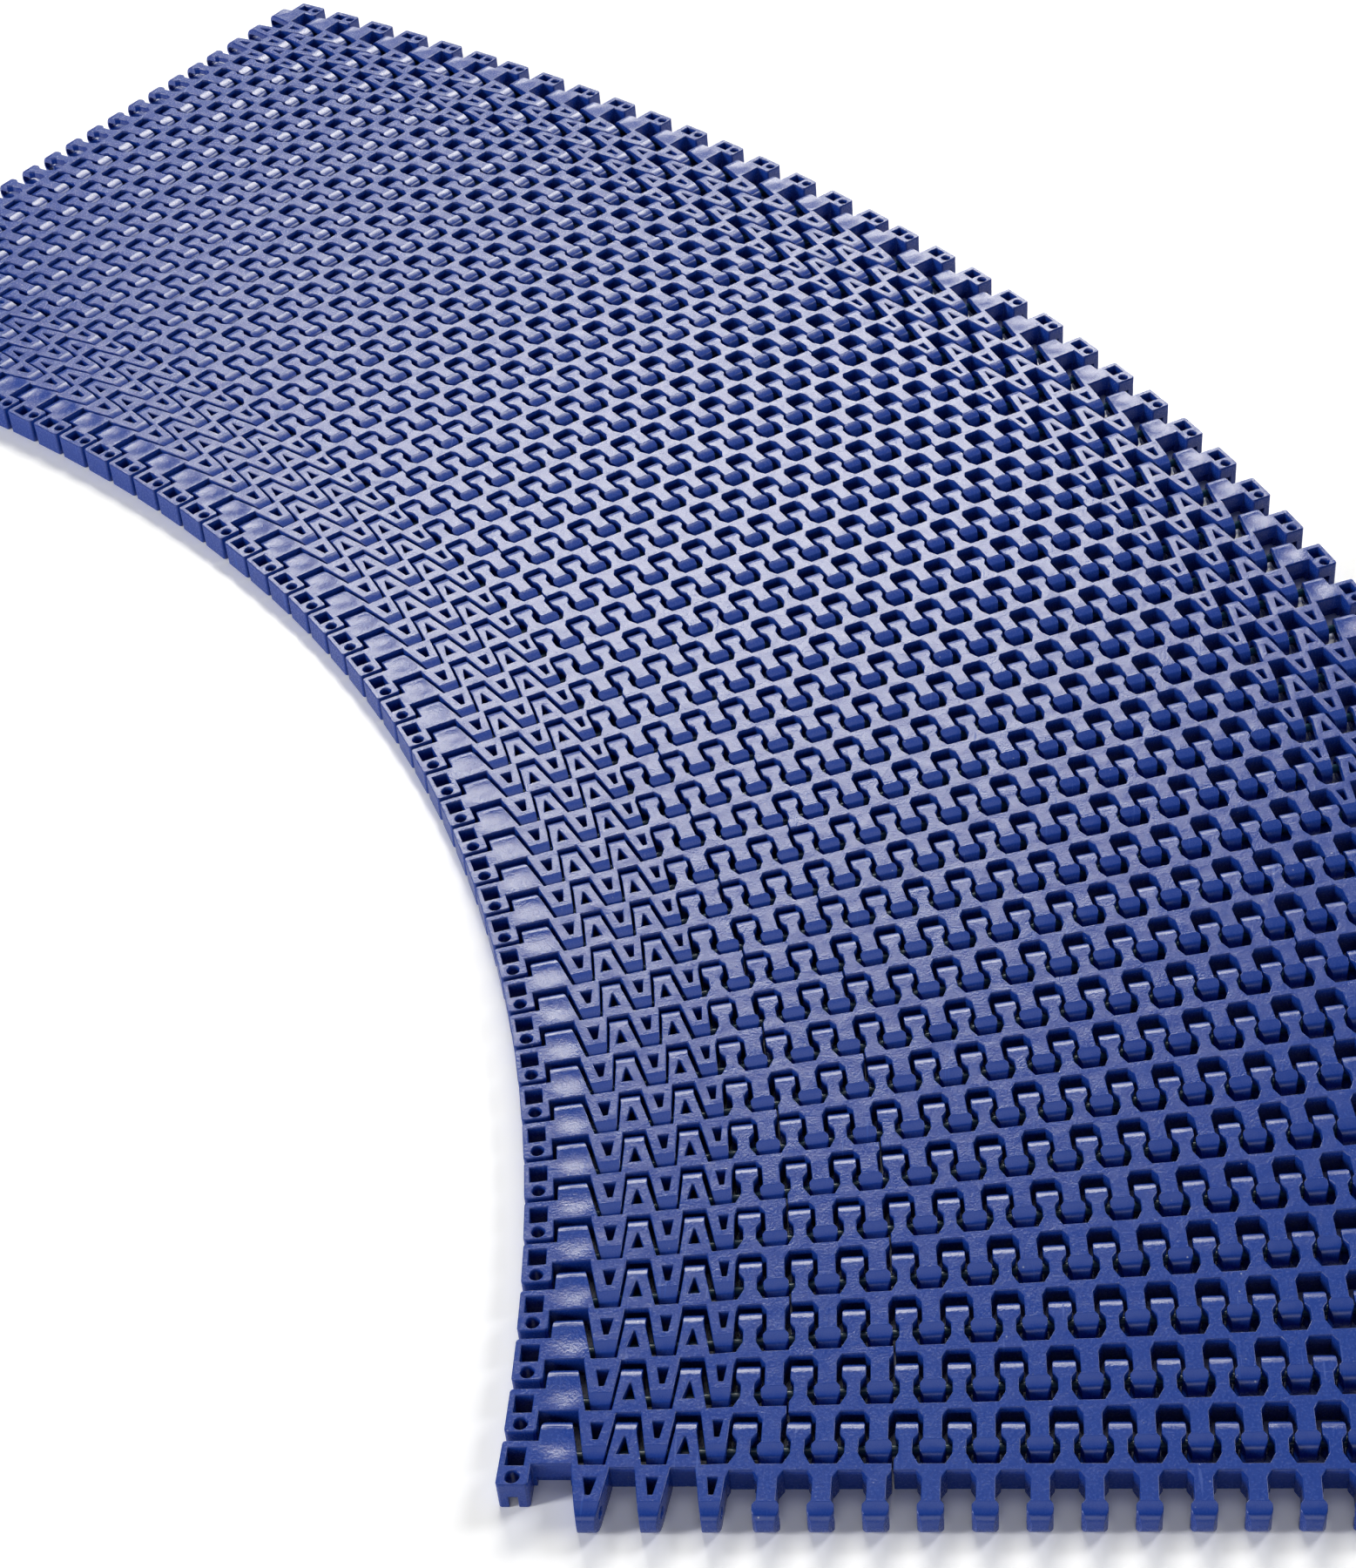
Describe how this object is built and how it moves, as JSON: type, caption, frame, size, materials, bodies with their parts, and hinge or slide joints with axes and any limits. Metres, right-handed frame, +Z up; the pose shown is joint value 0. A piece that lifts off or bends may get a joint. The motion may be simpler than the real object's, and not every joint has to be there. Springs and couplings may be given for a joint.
{
  "type": "modular plastic belt",
  "caption": "Side-flexing modular plastic belt of bricklaid rows with interlocking knuckles on sliding hinge pins, lying flat in a left-hand curve.",
  "frame": {"origin": "underside of the vertical hole in the front row's inner edge block", "axes": "+X along the front row to the outer edge, +Y back along the belt, +Z up"},
  "size_m": [0.7594, 0.9142, 0.0105],
  "materials": {
    "module": "fine moulded grain, satin",
    "pin": "smooth"
  },
  "bodies": {
    "row_01": {"row_01_inner_module": "module", "row_01_centre_module": "module", "row_01_outer_module": "module"},
    "row_02": {"row_02_inner_module": "module", "row_02_centre_module": "module", "row_02_outer_module": "module"},
    "row_02_pin": {"row_02_hinge_pin": "pin"},
    "row_03": {"row_03_inner_module": "module", "row_03_centre_module": "module", "row_03_outer_module": "module"},
    "row_03_pin": {"row_03_hinge_pin": "pin"},
    "row_04": {"row_04_inner_module": "module", "row_04_centre_module": "module", "row_04_outer_module": "module"},
    "row_04_pin": {"row_04_hinge_pin": "pin"},
    "row_05": {"row_05": "module"},
    "row_06": {"row_06": "module"},
    "row_07": {"row_07": "module"},
    "row_08": {"row_08": "module"},
    "row_09": {"row_09": "module"},
    "row_10": {"row_10": "module"},
    "row_11": {"row_11": "module"},
    "row_12": {"row_12": "module"},
    "row_13": {"row_13": "module"},
    "row_14": {"row_14": "module"},
    "row_15": {"row_15": "module"},
    "row_16": {"row_16": "module"},
    "row_17": {"row_17": "module"},
    "row_18": {"row_18": "module"},
    "row_19": {"row_19": "module"},
    "row_20": {"row_20": "module"},
    "row_21": {"row_21": "module"},
    "row_22": {"row_22": "module"},
    "row_23": {"row_23": "module"},
    "row_24": {"row_24": "module"},
    "row_25": {"row_25": "module"},
    "row_26": {"row_26": "module"},
    "row_27": {"row_27": "module"},
    "row_28": {"row_28": "module"},
    "row_29": {"row_29": "module"},
    "row_30": {"row_30": "module"},
    "row_31": {"row_31": "module"},
    "row_32": {"row_32": "module"},
    "row_33": {"row_33": "module"},
    "row_34": {"row_34": "module"},
    "row_35": {"row_35": "module"},
    "row_36": {"row_36": "module"},
    "row_37": {"row_37": "module"},
    "row_38": {"row_38": "module"},
    "row_39": {"row_39": "module"},
    "row_40": {"row_40": "module"},
    "row_41": {"row_41": "module"},
    "row_42": {"row_42": "module"},
    "row_43": {"row_43": "module"},
    "row_44": {"row_44": "module"},
    "row_45": {"row_45": "module"},
    "row_46": {"row_46": "module"},
    "row_47": {"row_47": "module"}
  },
  "joints": [
    {"name": "flex_24", "type": "hinge", "parent": "row_24", "child": "row_25", "pos_m": [0.16456, 0.55713, 0.00525], "axis": [0, 0, -1], "range_deg": [0, 1.56]},
    {"name": "flex_25", "type": "hinge", "parent": "row_25", "child": "row_26", "pos_m": [0.14952, 0.57722, 0.00525], "axis": [0, 0, -1], "range_deg": [0, 1.56]},
    {"name": "flex_26", "type": "hinge", "parent": "row_26", "child": "row_27", "pos_m": [0.13394, 0.5969, 0.00525], "axis": [0, 0, -1], "range_deg": [0, 1.56]},
    {"name": "flex_27", "type": "hinge", "parent": "row_27", "child": "row_28", "pos_m": [0.11782, 0.61614, 0.00525], "axis": [0, 0, -1], "range_deg": [0, 1.56]},
    {"name": "flex_28", "type": "hinge", "parent": "row_28", "child": "row_29", "pos_m": [0.10119, 0.63494, 0.00525], "axis": [0, 0, -1], "range_deg": [0, 1.56]},
    {"name": "flex_29", "type": "hinge", "parent": "row_29", "child": "row_30", "pos_m": [0.08406, 0.65328, 0.00525], "axis": [0, 0, -1], "range_deg": [0, 1.56]},
    {"name": "flex_30", "type": "hinge", "parent": "row_30", "child": "row_31", "pos_m": [0.06957, 0.66808, 0.00525], "axis": [0, 0, -1], "range_deg": [0, 0.6591]},
    {"name": "flex_31", "type": "hinge", "parent": "row_31", "child": "row_32", "pos_m": [0.05188, 0.68561, 0.00525], "axis": [0, 0, -1], "range_deg": [0, 1.52]},
    {"name": "flex_32", "type": "hinge", "parent": "row_32", "child": "row_33", "pos_m": [0.03387, 0.70254, 0.00525], "axis": [0, 0, -1], "range_deg": [0, 1.48]},
    {"name": "flex_33", "type": "hinge", "parent": "row_33", "child": "row_34", "pos_m": [0.01559, 0.71887, 0.00525], "axis": [0, 0, -1], "range_deg": [0, 1.44]},
    {"name": "flex_34", "type": "hinge", "parent": "row_34", "child": "row_35", "pos_m": [-0.00295, 0.73461, 0.00525], "axis": [0, 0, -1], "range_deg": [0, 1.4]},
    {"name": "flex_35", "type": "hinge", "parent": "row_35", "child": "row_36", "pos_m": [-0.02171, 0.74978, 0.00525], "axis": [0, 0, -1], "range_deg": [0, 1.36]},
    {"name": "flex_36", "type": "hinge", "parent": "row_36", "child": "row_37", "pos_m": [-0.04066, 0.76439, 0.00525], "axis": [0, 0, -1], "range_deg": [0, 1.32]},
    {"name": "flex_37", "type": "hinge", "parent": "row_37", "child": "row_38", "pos_m": [-0.05979, 0.77844, 0.00525], "axis": [0, 0, -1], "range_deg": [0, 1.28]},
    {"name": "flex_38", "type": "hinge", "parent": "row_38", "child": "row_39", "pos_m": [-0.07907, 0.79195, 0.00525], "axis": [0, 0, -1], "range_deg": [0, 1.24]},
    {"name": "flex_39", "type": "hinge", "parent": "row_39", "child": "row_40", "pos_m": [-0.09847, 0.80494, 0.00525], "axis": [0, 0, -1], "range_deg": [0, 1.2]},
    {"name": "flex_40", "type": "hinge", "parent": "row_40", "child": "row_41", "pos_m": [-0.11797, 0.81742, 0.00525], "axis": [0, 0, -1], "range_deg": [0, 1.16]},
    {"name": "flex_41", "type": "hinge", "parent": "row_41", "child": "row_42", "pos_m": [-0.13562, 0.82826, 0.00525], "axis": [0, 0, -1], "range_deg": [0, 0.6591]},
    {"name": "flex_42", "type": "hinge", "parent": "row_42", "child": "row_43", "pos_m": [-0.15516, 0.83992, 0.00525], "axis": [0, 0, -1], "range_deg": [0, 1.08]},
    {"name": "flex_43", "type": "hinge", "parent": "row_43", "child": "row_44", "pos_m": [-0.17476, 0.85112, 0.00525], "axis": [0, 0, -1], "range_deg": [0, 1.04]},
    {"name": "flex_44", "type": "hinge", "parent": "row_44", "child": "row_45", "pos_m": [-0.19438, 0.86187, 0.00525], "axis": [0, 0, -1], "range_deg": [0, 1]},
    {"name": "flex_45", "type": "hinge", "parent": "row_45", "child": "row_46", "pos_m": [-0.214, 0.87219, 0.00525], "axis": [0, 0, -1], "range_deg": [0, 0.9586]},
    {"name": "flex_46", "type": "hinge", "parent": "row_46", "child": "row_47", "pos_m": [-0.23363, 0.8821, 0.00525], "axis": [0, 0, -1], "range_deg": [0, 0.9187]},
    {"name": "flex_23", "type": "hinge", "parent": "row_24", "child": "row_23", "pos_m": [0.17905, 0.53664, 0.00525], "axis": [0, 0, 1], "range_deg": [0, 1.56]},
    {"name": "flex_22", "type": "hinge", "parent": "row_23", "child": "row_22", "pos_m": [0.19298, 0.51576, 0.00525], "axis": [0, 0, 1], "range_deg": [0, 1.56]},
    {"name": "flex_21", "type": "hinge", "parent": "row_22", "child": "row_21", "pos_m": [0.20634, 0.49451, 0.00525], "axis": [0, 0, 1], "range_deg": [0, 1.56]},
    {"name": "flex_20", "type": "hinge", "parent": "row_21", "child": "row_20", "pos_m": [0.21911, 0.4729, 0.00525], "axis": [0, 0, 1], "range_deg": [0, 1.56]},
    {"name": "flex_19", "type": "hinge", "parent": "row_20", "child": "row_19", "pos_m": [0.2313, 0.45096, 0.00525], "axis": [0, 0, 1], "range_deg": [0, 1.56]},
    {"name": "flex_18", "type": "hinge", "parent": "row_19", "child": "row_18", "pos_m": [0.24288, 0.42869, 0.00525], "axis": [0, 0, 1], "range_deg": [0, 1.56]},
    {"name": "flex_17", "type": "hinge", "parent": "row_18", "child": "row_17", "pos_m": [0.25385, 0.40611, 0.00525], "axis": [0, 0, 1], "range_deg": [0, 1.56]},
    {"name": "flex_16", "type": "hinge", "parent": "row_17", "child": "row_16", "pos_m": [0.2642, 0.38325, 0.00525], "axis": [0, 0, 1], "range_deg": [0, 1.56]},
    {"name": "flex_15", "type": "hinge", "parent": "row_16", "child": "row_15", "pos_m": [0.27393, 0.36011, 0.00525], "axis": [0, 0, 1], "range_deg": [0, 1.56]},
    {"name": "flex_14", "type": "hinge", "parent": "row_15", "child": "row_14", "pos_m": [0.28303, 0.33672, 0.00525], "axis": [0, 0, 1], "range_deg": [0, 1.56]},
    {"name": "flex_13", "type": "hinge", "parent": "row_14", "child": "row_13", "pos_m": [0.29149, 0.31309, 0.00525], "axis": [0, 0, 1], "range_deg": [0, 1.56]},
    {"name": "flex_12", "type": "hinge", "parent": "row_13", "child": "row_12", "pos_m": [0.2993, 0.28923, 0.00525], "axis": [0, 0, 1], "range_deg": [0, 1.56]},
    {"name": "flex_11", "type": "hinge", "parent": "row_12", "child": "row_11", "pos_m": [0.30646, 0.26518, 0.00525], "axis": [0, 0, 1], "range_deg": [0, 1.56]},
    {"name": "flex_10", "type": "hinge", "parent": "row_11", "child": "row_10", "pos_m": [0.31296, 0.24094, 0.00525], "axis": [0, 0, 1], "range_deg": [0, 1.56]},
    {"name": "flex_09", "type": "hinge", "parent": "row_10", "child": "row_09", "pos_m": [0.31881, 0.21653, 0.00525], "axis": [0, 0, 1], "range_deg": [0, 1.56]},
    {"name": "flex_08", "type": "hinge", "parent": "row_09", "child": "row_08", "pos_m": [0.32398, 0.19197, 0.00525], "axis": [0, 0, 1], "range_deg": [0, 1.56]},
    {"name": "flex_07", "type": "hinge", "parent": "row_08", "child": "row_07", "pos_m": [0.32849, 0.16727, 0.00525], "axis": [0, 0, 1], "range_deg": [0, 1.56]},
    {"name": "flex_06", "type": "hinge", "parent": "row_07", "child": "row_06", "pos_m": [0.33233, 0.14247, 0.00525], "axis": [0, 0, 1], "range_deg": [0, 1.56]},
    {"name": "flex_05", "type": "hinge", "parent": "row_06", "child": "row_05", "pos_m": [0.33548, 0.11757, 0.00525], "axis": [0, 0, 1], "range_deg": [0, 1.56]},
    {"name": "flex_04", "type": "hinge", "parent": "row_05", "child": "row_04", "pos_m": [0.33797, 0.09259, 0.00525], "axis": [0, 0, 1], "range_deg": [0, 1.35]},
    {"name": "tilt_03", "type": "hinge", "parent": "row_04", "child": "row_04_pin", "pos_m": [0.17299, 0.05577, 0.00525], "axis": [0.9975, 0.0704, 0], "range_deg": [-2.5, 2.5]},
    {"name": "flex_03", "type": "hinge", "parent": "row_04_pin", "child": "row_03", "pos_m": [0.33985, 0.06754, 0.00525], "axis": [0, 0, 1], "range_deg": [0, 1.35]},
    {"name": "tilt_02", "type": "hinge", "parent": "row_03", "child": "row_03_pin", "pos_m": [0.17405, 0.03459, 0.00525], "axis": [0.9989, 0.0469, 0], "range_deg": [-2.5, 2.5]},
    {"name": "flex_02", "type": "hinge", "parent": "row_03_pin", "child": "row_02", "pos_m": [0.34114, 0.04244, 0.00525], "axis": [0, 0, 1], "range_deg": [0, 1.35]},
    {"name": "tilt_01", "type": "hinge", "parent": "row_02", "child": "row_02_pin", "pos_m": [0.17461, 0.0134, 0.00525], "axis": [0.9997, 0.0235, 0], "range_deg": [-2.5, 2.5]},
    {"name": "flex_01", "type": "hinge", "parent": "row_02_pin", "child": "row_01", "pos_m": [0.34184, 0.01733, 0.00525], "axis": [0, 0, 1], "range_deg": [0, 1.35]}
  ],
  "couplings": [
    {"joint": "flex_25", "follows": "flex_24", "ratio": 1},
    {"joint": "flex_26", "follows": "flex_24", "ratio": 1},
    {"joint": "flex_27", "follows": "flex_24", "ratio": 1},
    {"joint": "flex_28", "follows": "flex_24", "ratio": 1},
    {"joint": "flex_29", "follows": "flex_24", "ratio": 1},
    {"joint": "flex_30", "follows": "flex_24", "ratio": 0.42308},
    {"joint": "flex_31", "follows": "flex_24", "ratio": 0.97436},
    {"joint": "flex_32", "follows": "flex_24", "ratio": 0.94872},
    {"joint": "flex_33", "follows": "flex_24", "ratio": 0.92308},
    {"joint": "flex_34", "follows": "flex_24", "ratio": 0.89743},
    {"joint": "flex_35", "follows": "flex_24", "ratio": 0.87179},
    {"joint": "flex_36", "follows": "flex_24", "ratio": 0.84615},
    {"joint": "flex_37", "follows": "flex_24", "ratio": 0.82051},
    {"joint": "flex_38", "follows": "flex_24", "ratio": 0.79487},
    {"joint": "flex_39", "follows": "flex_24", "ratio": 0.76923},
    {"joint": "flex_40", "follows": "flex_24", "ratio": 0.74359},
    {"joint": "flex_41", "follows": "flex_24", "ratio": 0.42308},
    {"joint": "flex_42", "follows": "flex_24", "ratio": 0.69231},
    {"joint": "flex_43", "follows": "flex_24", "ratio": 0.66667},
    {"joint": "flex_44", "follows": "flex_24", "ratio": 0.64102},
    {"joint": "flex_45", "follows": "flex_24", "ratio": 0.61538},
    {"joint": "flex_46", "follows": "flex_24", "ratio": 0.58974},
    {"joint": "flex_23", "follows": "flex_24", "ratio": 1},
    {"joint": "flex_22", "follows": "flex_24", "ratio": 1},
    {"joint": "flex_21", "follows": "flex_24", "ratio": 1},
    {"joint": "flex_20", "follows": "flex_24", "ratio": 1},
    {"joint": "flex_19", "follows": "flex_24", "ratio": 1},
    {"joint": "flex_18", "follows": "flex_24", "ratio": 1},
    {"joint": "flex_17", "follows": "flex_24", "ratio": 1},
    {"joint": "flex_16", "follows": "flex_24", "ratio": 1},
    {"joint": "flex_15", "follows": "flex_24", "ratio": 1},
    {"joint": "flex_14", "follows": "flex_24", "ratio": 1},
    {"joint": "flex_13", "follows": "flex_24", "ratio": 1},
    {"joint": "flex_12", "follows": "flex_24", "ratio": 1},
    {"joint": "flex_11", "follows": "flex_24", "ratio": 1},
    {"joint": "flex_10", "follows": "flex_24", "ratio": 1},
    {"joint": "flex_09", "follows": "flex_24", "ratio": 1},
    {"joint": "flex_08", "follows": "flex_24", "ratio": 1},
    {"joint": "flex_07", "follows": "flex_24", "ratio": 1},
    {"joint": "flex_06", "follows": "flex_24", "ratio": 1},
    {"joint": "flex_05", "follows": "flex_24", "ratio": 1},
    {"joint": "flex_04", "follows": "flex_24", "ratio": 0.8635},
    {"joint": "flex_03", "follows": "flex_24", "ratio": 0.8635},
    {"joint": "flex_02", "follows": "flex_24", "ratio": 0.8635},
    {"joint": "flex_01", "follows": "flex_24", "ratio": 0.8635}
  ]
}
